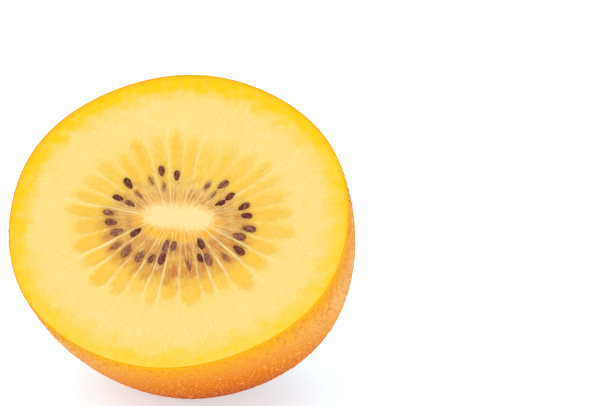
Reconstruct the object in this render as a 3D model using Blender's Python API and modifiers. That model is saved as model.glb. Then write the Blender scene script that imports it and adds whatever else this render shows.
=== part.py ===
"""Half a golden kiwi fruit, cut across the middle and leaning back on its round side.

Units are metres, +Z is up and the cut face looks towards -Y and up. The origin is the middle
of the small flat spot that the half rests on. Shapes are worked out in the face's own axes:
right along the face's long way, up the face, and out of it.
"""
import math
import random

import bmesh
import bpy
import numpy as np
from mathutils import Matrix, Vector

# The whole half
HALF_WIDTH = 0.0276  # half of the cut face's long way
HALF_HEIGHT = 0.02535  # half of its short way
DEPTH = 0.036  # from the cut face to the stem end
ROUNDNESS = 2.4  # power of the side's curve from the cut edge to the end: 2 is an ellipse
FACE_TILT = math.radians(43.5)  # how far the face's normal is raised above level
REST_PRESS = 0.0006  # depth of the flat spot that the half rests on
# Slow swells of the outline: how many round it, their height as a share of it, and where
SWELLS = ((3, 0.0027, 0.0), (4, 0.0042, math.radians(-121)), (6, 0.0047, math.radians(-150)))

# The cut face
LOCULES = 31
FIRST_LOCULE = 0.69  # where the first locule's middle is, in locules
SIDE_SPREAD = 0.06  # how far the rays open at the two sides and crowd above and below
DRIFT = 0.36  # how far a locule's middle wanders, as a share of a locule
DRIFT_DRAW = 48070
COLUMNS_PER_LOCULE = 4
CORE_LINE = 0.0036  # half of the short line that the rays start from
CORE_EDGE = 0.0017
CORE_RISE = 0.00018
LOBE_START = 0.0029
LOBE_END = 0.0145
LOBE_END_DRIFT = 0.0012
LOBE_END_DRAW = 5
LOBE_ROUNDING = 0.0024
LOBE_SINK = 0.00036
WALL_RISE = 0.00016
WALL_END = 0.0175
FLESH_CROWN = 0.00025
FACE_RINGS = (CORE_EDGE, 0.0026, 0.0038, 0.0056, 0.0076, 0.0098, 0.0119, 0.0137, 0.0154,
              0.0185, 0.0224, 0.0246, HALF_HEIGHT)
SIDE_RINGS = 13

# The seeds: one in the outer row of most locules, and a few nearer the core
SEED_LENGTH = 0.0023
SEED_WIDTH = 0.0011
SEED_THICKNESS = 0.001
SEED_SHOWS = 0.00042  # how far a seed stands out of the flesh
SEED_POINT = 0.3  # how much the end towards the core narrows
SEED_SIZE_DRIFT = 0.14
SEED_SIZE_DRAW = 3
SEED_TURN_DRIFT = math.radians(16)  # how far a seed turns away from its ray
SEED_TURN_DRAW = 8
SEED_COLUMNS = 8
SEED_ROWS = 5
OUTER_ROW = 0.0077
OUTER_ROW_DRIFT = 0.001
INNER_ROW = 0.0047
INNER_ROW_DRIFT = 0.0003
ROW_DRAW = 449658
LOCULES_WITH_SEED = (0, 1, 3, 4, 8, 9, 12, 13, 15, 16, 17, 19, 20, 21, 22, 25, 26, 28, 29, 30)
LOCULES_WITH_INNER_SEED = (3, 13, 18, 22, 23, 26)

# The stem end: a shallow dimple, and the dry stub of the stem in a socket there
DIMPLE_RADIUS = 0.0075
DIMPLE_DEPTH = 0.0009
STUB_RADIUS = 0.0022
STUB_HEIGHT = 0.0017
STUB_ROOT = 0.0011
STUB_ROOT_TAPER = 0.94
# The stub's outline from its hollowed top to its foot: shares of its radius and of its height
STUB_OUTLINE = ((0.0, 0.76), (0.5, 0.8), (0.82, 1.0), (0.98, 0.9), (0.88, 0.5), (0.92, 0.22),
                (1.0, 0.0))
STUB_STEPS = 24
GAP = 0.0003  # between the stub and its socket

REST_CUTTER_SIZE = 0.04
SOCKET_CUTTER_LENGTH = 0.0045
MERGE = 0.00001
SMOOTH_UP_TO = math.radians(35)

RIGHT = Vector((1.0, 0.0, 0.0))
UP_FACE = Vector((0.0, math.sin(FACE_TILT), math.cos(FACE_TILT)))
NORMAL = Vector((0.0, -math.cos(FACE_TILT), math.sin(FACE_TILT)))


def resting_place():
    """Where the face's middle is, with the round side's lowest point pressed flat at the origin.

    The side is a superellipse seen from the side, so its lowest point follows from the two
    half sizes as they weigh downwards, raised to the conjugate power.
    """
    power = ROUNDNESS / (ROUNDNESS - 1)
    across = HALF_HEIGHT * math.cos(FACE_TILT)
    along = DEPTH * math.sin(FACE_TILT)
    lowest = (across ** power + along ** power) ** (1 / power)
    girth = (across / lowest) ** (power - 1)
    depth = (along / lowest) ** (power - 1)
    behind = DEPTH * depth * math.cos(FACE_TILT) - HALF_HEIGHT * girth * math.sin(FACE_TILT)
    return Vector((0.0, -behind, lowest - REST_PRESS))


def placing(right, up, out, place):
    """The matrix that carries a shape's own three axes to these, at this place."""
    return Matrix.Translation(place) @ Matrix((right, up, out)).transposed().to_4x4()


def draws(seed, count):
    """A repeatable list of numbers from -1 to 1."""
    source = random.Random(seed)
    return [2 * source.random() - 1 for _ in range(count)]


def ramp(value, low, high):
    """A smooth step from 0 at low to 1 at high."""
    share = np.clip((value - low) / (high - low), 0.0, 1.0)
    return share * share * (3 - 2 * share)


def swell(turn):
    """The outline's slow unevenness: one plus a few cosines round the fruit's axis."""
    return 1 + sum(height * np.cos(count * turn - phase) for count, height, phase in SWELLS)


def face_place(turn, ring):
    """The place on the cut face, right and up, of a ray's turn and its distance along the ray.

    The rays start from a short line along the core and fan out. The line's share shrinks with
    the cube of the distance, so that the last ring is the face's outline.
    """
    share = ring / HALF_HEIGHT
    fade = 1 - (HALF_WIDTH - HALF_HEIGHT) / CORE_LINE
    uneven = 1 + (swell(turn) - 1) * share
    right = (ring + CORE_LINE * (1 - fade * share ** 3)) * np.cos(turn) * uneven
    up = ring * np.sin(turn) * uneven
    return right, up


def locule_middles():
    """The turn of each locule's middle: even steps that drift, opened a little at the sides."""
    drift = DRIFT * np.array(draws(DRIFT_DRAW, LOCULES))
    even = math.tau * (np.arange(LOCULES) + FIRST_LOCULE + drift) / LOCULES
    return even + SIDE_SPREAD * np.sin(2 * even)


def column_turns():
    """The turn of each column of the mesh, the wall that it starts from, and its share across.

    A wall stands midway between two locules' middles. Each locule has the same few columns.
    """
    middles = locule_middles()
    before = np.roll(middles, 1)
    before[0] -= math.tau
    walls = (before + middles) / 2
    after = np.append(walls, walls[0] + math.tau)
    column = np.arange(LOCULES * COLUMNS_PER_LOCULE)
    locule = column // COLUMNS_PER_LOCULE
    share = (column % COLUMNS_PER_LOCULE) / COLUMNS_PER_LOCULE
    return after[locule] * (1 - share) + after[locule + 1] * share, locule, share


def face_height(ring, locule, share):
    """The cut face's low relief: sunk locules between raised walls, a raised core, a crown."""
    lobe_ends = LOBE_END + LOBE_END_DRIFT * np.array(draws(LOBE_END_DRAW, LOCULES))
    across = np.sin(np.pi * share)
    end = lobe_ends[locule] - LOBE_ROUNDING * (1 - across)
    sunk = ramp(ring, LOBE_START, LOBE_START + LOBE_ROUNDING)
    sunk = sunk * (1 - ramp(ring, end - LOBE_ROUNDING / 2, end + LOBE_ROUNDING / 2))
    wall = ramp(ring, CORE_EDGE, LOBE_START) * (1 - ramp(ring, LOBE_END, WALL_END))
    core = 1 - ramp(ring, CORE_EDGE, LOBE_START)
    crown = np.sin(np.pi * np.clip((ring - LOBE_END) / (HALF_HEIGHT - LOBE_END), 0.0, 1.0))
    return (CORE_RISE * core + FLESH_CROWN * crown
            + WALL_RISE * wall * (1 - across) - LOBE_SINK * sunk * np.sqrt(across))


def side_place(turn, share):
    """The place on the round side, right, up and out, from the cut edge (0) to the end (1).

    The side narrows as a superellipse does, and the end is pressed in by a shallow dimple.
    """
    angle = share * np.pi / 2
    girth = np.cos(angle) ** (2 / ROUNDNESS)
    depth = DEPTH * np.sin(angle) ** (2 / ROUNDNESS)
    uneven = 1 + (swell(turn) - 1) * girth
    right = HALF_WIDTH * girth * np.cos(turn) * uneven
    up = HALF_HEIGHT * girth * np.sin(turn) * uneven
    near = np.clip(1 - (right ** 2 + up ** 2) / DIMPLE_RADIUS ** 2, 0.0, 1.0)
    return right, up, DIMPLE_DEPTH * near ** 2 - depth


def plain_material(name, colour, roughness):
    """A Principled material of one colour."""
    material = bpy.data.materials.new(name)
    material.use_nodes = True
    shader = material.node_tree.nodes["Principled BSDF"]
    shader.inputs["Base Color"].default_value = (*colour, 1.0)
    shader.inputs["Roughness"].default_value = roughness
    shader.inputs["Metallic"].default_value = 0.0
    material.diffuse_color = (*colour, 1.0)
    return material


def new_object(name, mesh, collection, material=None):
    """An object for this mesh in this collection."""
    thing = bpy.data.objects.new(name, mesh)
    collection.objects.link(thing)
    if material:
        mesh.materials.append(material)
    return thing


def sphere_mesh(name, columns, rows):
    """A sphere primitive, with each vertex's column and row as counted from its first pole."""
    shape = bmesh.new()
    bmesh.ops.create_uvsphere(shape, u_segments=columns, v_segments=rows, radius=1.0)
    mesh = bpy.data.meshes.new(name)
    shape.to_mesh(mesh)
    shape.free()
    points = np.empty(len(mesh.vertices) * 3)
    mesh.vertices.foreach_get("co", points)
    x, y, z = points.reshape(-1, 3).T
    column = np.round(np.arctan2(y, x) / math.tau * columns).astype(int) % columns
    row = np.round(np.arccos(np.clip(z, -1.0, 1.0)) / math.pi * rows).astype(int)
    return mesh, column, row


def set_points(mesh, x, y, z):
    """Moves all of a mesh's vertices."""
    mesh.vertices.foreach_set("co", np.column_stack((x, y, z)).ravel())
    mesh.update()


def fruit_mesh(flesh, skin):
    """The half's closed body: a sphere's near side laid out flat as the cut face."""
    rings = np.array((0.0,) + FACE_RINGS)
    edge = len(FACE_RINGS)
    columns = LOCULES * COLUMNS_PER_LOCULE
    mesh, column, row = sphere_mesh("kiwi_half", columns, edge + SIDE_RINGS)
    turns, locule, share = (values[column] for values in column_turns())

    ring = rings[np.minimum(row, edge)]
    right, up = face_place(turns, ring)
    out = face_height(ring, locule, share)
    pole = row == 0
    right[pole] = 0.0
    out[row == edge] = 0.0

    beyond = row > edge
    side = side_place(turns, np.clip((row - edge) / SIDE_RINGS, 0.0, 1.0))
    right, up, out = (np.where(beyond, far, near) for far, near in zip(side, (right, up, out)))
    set_points(mesh, right, up, out)

    mesh.materials.append(flesh)
    mesh.materials.append(skin)
    for face in mesh.polygons:
        face.material_index = int(any(beyond[corner] for corner in face.vertices))
    return mesh


def seed_mesh(material):
    """One seed, a drop: its pointed end looks along -X, towards the core."""
    mesh, column, row = sphere_mesh("seed", SEED_COLUMNS, SEED_ROWS)
    angle = math.pi * row / SEED_ROWS
    turn = math.tau * column / SEED_COLUMNS
    girth = np.sin(angle) * (1 + SEED_POINT * np.cos(angle))
    set_points(mesh, SEED_LENGTH / 2 * np.cos(angle), SEED_WIDTH / 2 * girth * np.cos(turn),
               SEED_THICKNESS / 2 * girth * np.sin(turn))
    mesh.flip_normals()
    mesh.materials.append(material)
    return mesh


def seed_places():
    """Each seed's turn, distance along its ray, size, and heading.

    Draws are used in turn by the outer row's locules and then by the inner row's.
    """
    middles = locule_middles()
    drift = draws(ROW_DRAW, 2 * LOCULES)
    sizes = draws(SEED_SIZE_DRAW, 2 * LOCULES)
    headings = draws(SEED_TURN_DRAW, 2 * LOCULES)
    rows = ((LOCULES_WITH_SEED, OUTER_ROW, OUTER_ROW_DRIFT),
            (LOCULES_WITH_INNER_SEED, INNER_ROW, INNER_ROW_DRIFT))
    places = []
    for number, (locules, row, row_drift) in enumerate(rows):
        for locule in locules:
            draw = number * LOCULES + locule
            turn = middles[locule]
            places.append((turn, row + row_drift * drift[draw], 1 + SEED_SIZE_DRIFT * sizes[draw],
                           turn + SEED_TURN_DRIFT * headings[draw]))
    return places


def join_seeds(half, placed, seed):
    """Grows the seeds into the flesh: copies set in place, then one union."""
    group = bpy.data.collections.new("seeds")
    bpy.context.scene.collection.children.link(group)
    for number, (turn, ring, size, heading) in enumerate(seed_places()):
        copy = new_object(f"seed_{number}", seed, group)
        right, up = face_place(turn, ring)
        out = SEED_SHOWS - SEED_THICKNESS / 2 - LOBE_SINK / 2
        copy.matrix_world = (placed @ Matrix.Translation((right, up, out))
                             @ Matrix.Rotation(heading, 4, "Z") @ Matrix.Scale(size, 4))
    union = half.modifiers.new("seeds", "BOOLEAN")
    union.operation = "UNION"
    union.solver = "EXACT"
    union.material_mode = "TRANSFER"
    union.operand_type = "COLLECTION"
    union.collection = group
    graph = bpy.context.evaluated_depsgraph_get()
    joined = bpy.data.meshes.new_from_object(half.evaluated_get(graph))
    half.modifiers.clear()
    half.data = joined
    for copy in list(group.objects):
        bpy.data.objects.remove(copy)
    bpy.data.collections.remove(group)


def cut(thing, cutter):
    """Cuts one object by another, which is kept as a guide and not shown."""
    cutter.hide_render = True
    cutter.display_type = "WIRE"
    difference = thing.modifiers.new(cutter.name, "BOOLEAN")
    difference.operation = "DIFFERENCE"
    difference.solver = "EXACT"
    difference.object = cutter


def floor_cutter(collection):
    """A block under the surface that the half rests on."""
    shape = bmesh.new()
    bmesh.ops.create_cube(shape, size=REST_CUTTER_SIZE)
    mesh = bpy.data.meshes.new("rest_cutter")
    shape.to_mesh(mesh)
    shape.free()
    cutter = new_object("rest_cutter", mesh, collection)
    cutter.location = (0.0, 0.0, -REST_CUTTER_SIZE / 2)
    return cutter


def socket_cutter(collection, stub_placing):
    """A round bar where the stub's root goes into the fruit, a gap wider and deeper than it."""
    shape = bmesh.new()
    bmesh.ops.create_cone(shape, cap_ends=True, segments=STUB_STEPS, radius1=STUB_RADIUS + GAP,
                          radius2=STUB_RADIUS + GAP, depth=SOCKET_CUTTER_LENGTH)
    mesh = bpy.data.meshes.new("socket_cutter")
    shape.to_mesh(mesh)
    shape.free()
    cutter = new_object("socket_cutter", mesh, collection)
    middle = SOCKET_CUTTER_LENGTH / 2 - STUB_ROOT - GAP
    cutter.matrix_world = stub_placing @ Matrix.Translation((0.0, 0.0, middle))
    return cutter


def stem_stub(collection, stub_placing, material):
    """The dry stub: a turned profile with a hollowed top, a waist and a wider foot."""
    points = [(STUB_RADIUS * radius, 0.0, STUB_HEIGHT * height) for radius, height in STUB_OUTLINE]
    points += [(STUB_ROOT_TAPER * STUB_RADIUS, 0.0, -STUB_ROOT), (0.0, 0.0, -STUB_ROOT)]
    mesh = bpy.data.meshes.new("stem_button")
    mesh.from_pydata(points, [(step, step + 1) for step in range(len(points) - 1)], [])
    stub = new_object("stem_button", mesh, collection, material)
    stub.matrix_world = stub_placing
    turned = stub.modifiers.new("turned", "SCREW")
    turned.axis = "Z"
    turned.steps = STUB_STEPS
    turned.render_steps = STUB_STEPS
    turned.use_merge_vertices = True
    turned.merge_threshold = MERGE
    turned.use_smooth_shade = True
    return stub


def main():
    for thing in list(bpy.data.objects):
        bpy.data.objects.remove(thing)
    fruit = bpy.data.collections.new("golden_kiwi_half")
    cutters = bpy.data.collections.new("cutters")
    bpy.context.scene.collection.children.link(fruit)
    bpy.context.scene.collection.children.link(cutters)

    flesh = plain_material("golden_flesh", (0.95, 0.66, 0.20), 0.35)
    skin = plain_material("orange_skin", (0.80, 0.30, 0.02), 0.5)
    dark = plain_material("seed_coat", (0.07, 0.025, 0.025), 0.3)
    wood = plain_material("dry_stem", (0.16, 0.07, 0.025), 0.8)

    middle = resting_place()
    placed = placing(RIGHT, UP_FACE, NORMAL, middle)
    half = new_object("kiwi_half", fruit_mesh(flesh, skin), fruit)
    half.matrix_world = placed
    bpy.context.view_layer.update()
    join_seeds(half, placed, seed_mesh(dark))
    half.data.shade_smooth()
    half.data.set_sharp_from_angle(angle=SMOOTH_UP_TO)

    stub_foot = middle - (DEPTH - DIMPLE_DEPTH) * NORMAL
    stub_placing = placing(RIGHT, -UP_FACE, -NORMAL, stub_foot)
    cut(half, floor_cutter(cutters))
    cut(half, socket_cutter(cutters, stub_placing))
    stem_stub(fruit, stub_placing, wood)


main()
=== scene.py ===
"""The looks of half a golden kiwi fruit: wet golden flesh with its rays, lobes and seeds, the
orange skin with its fine raised dots, and the dry stub of the stem.

Shapes are worked out in the cut face's own axes: right along the face's long way, up the face,
and out of it. Units are metres unless a name says otherwise. The cut face is a grid of rays that
leave the core: a point's turn is its ray's angle, and its ring is its distance along the ray.
"""
import math
import random

import bpy
import numpy as np
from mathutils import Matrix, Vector


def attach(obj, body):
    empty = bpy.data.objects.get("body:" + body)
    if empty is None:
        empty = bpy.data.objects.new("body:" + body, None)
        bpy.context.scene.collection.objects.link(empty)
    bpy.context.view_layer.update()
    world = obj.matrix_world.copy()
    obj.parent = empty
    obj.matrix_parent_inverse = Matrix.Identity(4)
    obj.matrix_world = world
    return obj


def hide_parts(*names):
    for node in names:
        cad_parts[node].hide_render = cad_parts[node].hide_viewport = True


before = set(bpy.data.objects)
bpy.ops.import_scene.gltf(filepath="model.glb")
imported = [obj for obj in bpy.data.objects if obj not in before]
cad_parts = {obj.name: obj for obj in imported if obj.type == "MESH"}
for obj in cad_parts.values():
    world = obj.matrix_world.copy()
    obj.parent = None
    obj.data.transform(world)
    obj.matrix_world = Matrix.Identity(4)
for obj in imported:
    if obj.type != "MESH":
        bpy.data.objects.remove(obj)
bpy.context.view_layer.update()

# The half, as the solid part has it
HALF_WIDTH = 0.0276
HALF_HEIGHT = 0.02535
DEPTH = 0.036
ROUNDNESS = 2.4
FACE_TILT = math.radians(43.5)
REST_PRESS = 0.0006
SWELLS = ((3, 0.0027, 0.0), (4, 0.0042, math.radians(-121)), (6, 0.0047, math.radians(-150)))
LOCULES = 31
FIRST_LOCULE = 0.69
SIDE_SPREAD = 0.06
DRIFT = 0.36
DRIFT_DRAW = 48070
CORE_LINE = 0.0036
CORE_EDGE = 0.0017
CORE_RISE = 0.00018
LOBE_START = 0.0029
LOBE_END = 0.0145
LOBE_END_DRIFT = 0.0012
LOBE_END_DRAW = 5
LOBE_SINK = 0.00036
WALL_RISE = 0.00016
FLESH_CROWN = 0.00025
SEED_LENGTH = 0.0023
SEED_WIDTH = 0.0011
SEED_THICKNESS = 0.001
SEED_SHOWS = 0.00042
SEED_POINT = 0.3
SEED_SIZE_DRIFT = 0.14
SEED_SIZE_DRAW = 3
SEED_TURN_DRIFT = math.radians(16)
SEED_TURN_DRAW = 8
OUTER_ROW = 0.0077
OUTER_ROW_DRIFT = 0.001
INNER_ROW = 0.0047
INNER_ROW_DRIFT = 0.0003
ROW_DRAW = 449658
LOCULES_WITH_SEED = (0, 1, 3, 4, 8, 9, 12, 13, 15, 16, 17, 19, 20, 21, 22, 25, 26, 28, 29, 30)
LOCULES_WITH_INNER_SEED = (3, 13, 18, 22, 23, 26)
DIMPLE_RADIUS = 0.0075
DIMPLE_DEPTH = 0.0009
STUB_RADIUS = 0.0022
STUB_HEIGHT = 0.0017

# The grids and the skin's thickness
COLUMNS_PER_LOCULE = 24
FINE_RING_STEP = 0.00021
COARSE_RING_STEP = 0.00042
PATTERN_END = 0.0172  # the ring where the coarser steps start
SKIN = 0.00022  # thickness of the skin
SKIN_CLEARANCE = 0.00002
BODY_ROWS = 12  # of the flesh's plain body behind the face
SIDE_ROWS = 120
SIDE_COLUMNS = 480
SIDE_CROWDING = 1.15  # above one, rows stand closer together near the cut edge
INNER_SKIN_STEP = 8  # the skin's inner face has one row for this many outer ones
SHARP_ANGLE = math.radians(50)

# The picture
IMAGE_WIDTH_PX = 600
IMAGE_HEIGHT_PX = 406
FACE_MIDDLE_PX = (177.0, 219.0)  # where the face's middle falls in the picture
VIEW_AZIMUTH = math.radians(15.9)
VIEW_ELEVATION = math.radians(20.0)
VIEW_DISTANCE = 0.5
LENS_MM = 190.4
SENSOR_MM = 36.0
NEAREST_SEEN = 0.01
FARTHEST_SEEN = 20.0
FLOOR_HALF_SIDE = 3.0
SURROUND_STRENGTH = 0.66
LIGHTS_LOOK_AT = Vector((0.0, 0.0, 0.025))

RIGHT = np.array((1.0, 0.0, 0.0))
UP_FACE = np.array((0.0, math.sin(FACE_TILT), math.cos(FACE_TILT)))
NORMAL = np.array((0.0, -math.cos(FACE_TILT), math.sin(FACE_TILT)))


def resting_place():
    """The face's middle: the superellipse's lowest point, pressed flat, is at the origin."""
    power = ROUNDNESS / (ROUNDNESS - 1)
    across = HALF_HEIGHT * math.cos(FACE_TILT)
    along = DEPTH * math.sin(FACE_TILT)
    lowest = (across ** power + along ** power) ** (1 / power)
    girth = (across / lowest) ** (power - 1)
    depth = (along / lowest) ** (power - 1)
    behind = DEPTH * depth * math.cos(FACE_TILT) - HALF_HEIGHT * girth * math.sin(FACE_TILT)
    return np.array((0.0, -behind, lowest - REST_PRESS))


MIDDLE = resting_place()


def to_world(right, up, out):
    """Points from the face's own axes to the world's, as one array with x, y, z last."""
    return (MIDDLE + np.asarray(right)[..., None] * RIGHT + np.asarray(up)[..., None] * UP_FACE
            + np.asarray(out)[..., None] * NORMAL)


def draws(seed, count):
    """A repeatable array of numbers from -1 to 1."""
    source = random.Random(seed)
    return np.array([2 * source.random() - 1 for _ in range(count)])


def ramp(value, low, high):
    """A smooth step from 0 at low to 1 at high."""
    share = np.clip((value - low) / (high - low), 0.0, 1.0)
    return share * share * (3 - 2 * share)


def bell(value, width):
    """A bump of height 1 that falls off as a Gaussian of this width."""
    return np.exp(-(value / width) ** 2)


def between(ends, share):
    """The value this share of the way from the first of two ends to the second."""
    return ends[0] + (ends[1] - ends[0]) * share


def below_of(turn):
    """1 for a ray that points straight down the face, 0 for one that points up."""
    return (1 - np.sin(turn)) / 2


def swell(turn):
    """The outline's slow unevenness: one plus a few cosines round the fruit's axis."""
    return 1 + sum(height * np.cos(count * turn - phase) for count, height, phase in SWELLS)


def face_place(turn, ring):
    """The place on the cut face, right and up, of a ray's turn and its distance along the ray.

    The rays start from a short line along the core, which closes to a point at its middle.
    """
    share = ring / HALF_HEIGHT
    fade = 1 - (HALF_WIDTH - HALF_HEIGHT) / CORE_LINE
    opening = 1 - np.clip(1 - ring / CORE_EDGE, 0.0, 1.0) ** 2
    uneven = 1 + (swell(turn) - 1) * share
    right = (ring + CORE_LINE * opening * (1 - fade * share ** 3)) * np.cos(turn) * uneven
    up = ring * np.sin(turn) * uneven
    return right, up


def locule_middles():
    """The turn of each locule's middle: even steps that drift, opened a little at the sides."""
    even = math.tau * (np.arange(LOCULES) + FIRST_LOCULE + DRIFT * draws(DRIFT_DRAW, LOCULES))
    even = even / LOCULES
    return even + SIDE_SPREAD * np.sin(2 * even)


def wall_turns():
    """The turn of the wall before each locule, midway between two middles, and of the next."""
    middles = locule_middles()
    before = np.roll(middles, 1)
    before[0] -= math.tau
    walls = (before + middles) / 2
    return walls, np.append(walls[1:], walls[0] + math.tau)


def side_place(turn, share):
    """The place on the round side, right, up and out, from the cut edge (0) to the end (1).

    The side narrows as a superellipse does, and the end is pressed in by a shallow dimple.
    """
    angle = share * np.pi / 2
    girth = np.cos(angle) ** (2 / ROUNDNESS)
    depth = DEPTH * np.sin(angle) ** (2 / ROUNDNESS)
    uneven = 1 + (swell(turn) - 1) * girth
    right = HALF_WIDTH * girth * np.cos(turn) * uneven
    up = HALF_HEIGHT * girth * np.sin(turn) * uneven
    near = np.clip(1 - (right ** 2 + up ** 2) / DIMPLE_RADIUS ** 2, 0.0, 1.0)
    return right, up, DIMPLE_DEPTH * near ** 2 - depth


def side_world(turn, share, inset=0.0):
    """The round side in the world's axes, drawn in by a share of its size where asked."""
    return to_world(*((1 - inset) * part for part in side_place(turn, share)))


def grid_faces(rows, columns):
    """Quads between rows of points that close round, with a triangle fan at each end's pole.

    Point 0 is the first pole, then come the rows, and the last point is the other pole.
    """
    row, column = np.meshgrid(np.arange(rows - 1), np.arange(columns), indexing="ij")
    after = (column + 1) % columns
    start = 1 + row * columns
    quads = np.stack((start + column, start + columns + column, start + columns + after,
                      start + after), axis=-1).reshape(-1, 4)
    around = np.arange(columns)
    last = 1 + (rows - 1) * columns
    first_fan = np.stack((np.zeros(columns, int), 1 + around, 1 + (around + 1) % columns), -1)
    last_fan = np.stack((np.full(columns, last + columns), last + (around + 1) % columns,
                         last + around), -1)
    return quads.tolist() + first_fan.tolist() + last_fan.tolist()


def repeated_faces(rows, columns, corners, copies):
    """The faces of many copies of one grid, each with this many corners of its own."""
    one = grid_faces(rows, columns)
    return [[corner + number * corners for corner in face]
            for number in range(copies) for face in one]


def new_piece(name, points, faces, material):
    """A smooth mesh piece that rides with the fruit and takes its finish from a slot."""
    mesh = bpy.data.meshes.new(name)
    mesh.from_pydata(points.reshape(-1, 3).tolist(), [], faces)
    mesh.update()
    mesh.shade_smooth()
    mesh.materials.append(material)
    piece = bpy.data.objects.new(name, mesh)
    bpy.context.scene.collection.objects.link(piece)
    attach(piece, "root")
    return piece


def set_attribute(piece, name, values, kind="FLOAT"):
    """Stores one number, or one vector, for each of the piece's points."""
    attribute = piece.data.attributes.new(name, kind, "POINT")
    field = "value" if kind == "FLOAT" else "vector"
    attribute.data.foreach_set(field, np.asarray(values, np.float32).ravel())


def poled(first, rows, last):
    """A flat list of values for a grid: its first pole, its rows, its last pole."""
    return np.concatenate(([first], np.asarray(rows).ravel(), [last]))


# The cut face's grid

# Soft irregular waves
RIPPLE_WAVES = 28
RIPPLE_LENGTH_DRIFT = 0.35
RIPPLE_PEAK = 1.6  # times the waves' usual sum

# How the lobes' sides wander from the rays, as a share of a locule's width
WANDER = 0.09
WANDER_LENGTH = 0.007
WANDER_DRAW = 27
WANDER_STARTS = (0.003, 0.009)


class CutFace:
    """The fine grid of the cut face, and what the tissues' formulas ask about its points.

    Columns run round the face, an equal number in each locule, and rings run outward.
    """

    def __init__(self):
        walls, nexts = wall_turns()
        column = np.arange(LOCULES * COLUMNS_PER_LOCULE)
        self.locule = column // COLUMNS_PER_LOCULE
        self.share = (column % COLUMNS_PER_LOCULE) / COLUMNS_PER_LOCULE
        self.turn = walls[self.locule] * (1 - self.share) + nexts[self.locule] * self.share
        fine = np.arange(FINE_RING_STEP, PATTERN_END, FINE_RING_STEP)
        edge = HALF_HEIGHT - SKIN - SKIN_CLEARANCE
        coarse = np.arange(PATTERN_END, edge - COARSE_RING_STEP / 2, COARSE_RING_STEP)
        self.ring = np.concatenate((fine, coarse, (edge,)))[:, None]
        self.right, self.up = face_place(self.turn, self.ring)

        self.below = below_of(self.turn)
        self.sideways = np.cos(self.turn) ** 2
        self.reach = self.ring + CORE_LINE * np.sin(self.turn) ** 2
        self.locule_width = (nexts - walls)[self.locule] * self.reach
        wander = WANDER * self.ripples(WANDER_LENGTH, WANDER_DRAW)
        self.wandered = self.share + wander * ramp(self.ring, *WANDER_STARTS)
        to_wall = np.minimum(np.abs(self.wandered), np.abs(1 - self.wandered))
        self.to_wall = to_wall * self.locule_width
        self.nearest_wall = np.where(self.share < 0.5, self.locule, (self.locule + 1) % LOCULES)

    def ripples(self, wavelength, seed):
        """Soft irregular waves of about this length, from -1 to 1: summed cosines."""
        way, phase, size = draws(seed, 3 * RIPPLE_WAVES).reshape(3, RIPPLE_WAVES)
        total = np.zeros(self.right.shape)
        for wave in range(RIPPLE_WAVES):
            pace = math.tau / wavelength * (1 + RIPPLE_LENGTH_DRIFT * size[wave])
            across = self.right * math.cos(math.pi * way[wave])
            along = self.up * math.sin(math.pi * way[wave])
            total += np.cos(pace * (across + along) + math.pi * phase[wave])
        return np.clip(total / math.sqrt(RIPPLE_WAVES) / RIPPLE_PEAK, -1.0, 1.0)

    def spot(self, turn, ring, size):
        """A soft spot at this turn and ring, of this length along its ray and this width."""
        length, width = size
        across = np.angle(np.exp(1j * (self.turn - turn))) * self.reach
        apart = ((self.ring - ring) / length) ** 2 + (across / width) ** 2
        return np.exp(-apart ** 2)


# The tissues

# Each function below gives how much of its tissue, or of its painted light or shade, shows at each
# point, from 0 to 1. A pair named for the top and bottom holds its value on the face's topmost ray
# and on its lowest one.

# The lobes
LOBE_OVERRUN = 0.0006  # past the solid's lobes
LOBE_SIDE_STRETCH = 0.0005
LOBE_NARROWS = 0.0088
LOBE_TIP_POWER = 0.7
LOBE_FILLS_TOP_BOTTOM = (0.74, 1.15)  # of its locule's width
LOBE_RIPPLE = 0.0003
LOBE_RIPPLE_LENGTH = 0.0012
LOBE_RIPPLE_DRAW = 21
LOBE_BLUR_TOP_BOTTOM = (0.00075, 0.00035)
LOBE_STRENGTH_TOP_BOTTOM = (0.74, 0.82)
LOBE_STRENGTH_SIDEWAYS = 0.12
LOBE_STRENGTH_DRIFT = 0.22
LOBE_STRENGTH_DRAW = 30
LEAST_LOBE_STRENGTH = 0.3
LOBE_FADE_BEFORE_TOP_BOTTOM = (0.004, 0.0024)  # before the tip
LOBE_FADE_PAST_TOP_BOTTOM = (0.0008, 0.0)  # past the tip
LOBE_APPEARS = (0.0055, 0.0095)


def lobes(face):
    """Golden lobes fill the locules and narrow to soft round tips, paler up the face."""
    drift = LOBE_END_DRIFT * draws(LOBE_END_DRAW, LOCULES)
    tip = (LOBE_END + LOBE_OVERRUN + drift)[face.locule] + LOBE_SIDE_STRETCH * face.sideways
    narrowing = np.clip((face.ring - LOBE_NARROWS) / (tip - LOBE_NARROWS), 0.0, 1.0)
    petal = between(LOBE_FILLS_TOP_BOTTOM, face.below) * face.locule_width / 2
    petal = petal * (1 - narrowing ** 2) ** LOBE_TIP_POWER
    from_middle = np.abs(face.wandered - 0.5) * face.locule_width
    from_middle = from_middle + LOBE_RIPPLE * face.ripples(LOBE_RIPPLE_LENGTH, LOBE_RIPPLE_DRAW)
    blur = between(LOBE_BLUR_TOP_BOTTOM, face.below)
    lobe = 1 - ramp(from_middle, petal - blur, petal + blur)

    faded = ramp(face.ring, tip - between(LOBE_FADE_BEFORE_TOP_BOTTOM, face.below),
                 tip + between(LOBE_FADE_PAST_TOP_BOTTOM, face.below))
    strength = between(LOBE_STRENGTH_TOP_BOTTOM, face.below)
    strength = strength + LOBE_STRENGTH_SIDEWAYS * face.sideways
    strength = strength + LOBE_STRENGTH_DRIFT * draws(LOBE_STRENGTH_DRAW, LOCULES)[face.locule]
    strength = np.clip(strength, LEAST_LOBE_STRENGTH, 1.0)
    return lobe * ramp(face.ring, *LOBE_APPEARS) * (1 - faded ** 2) * strength


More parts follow.
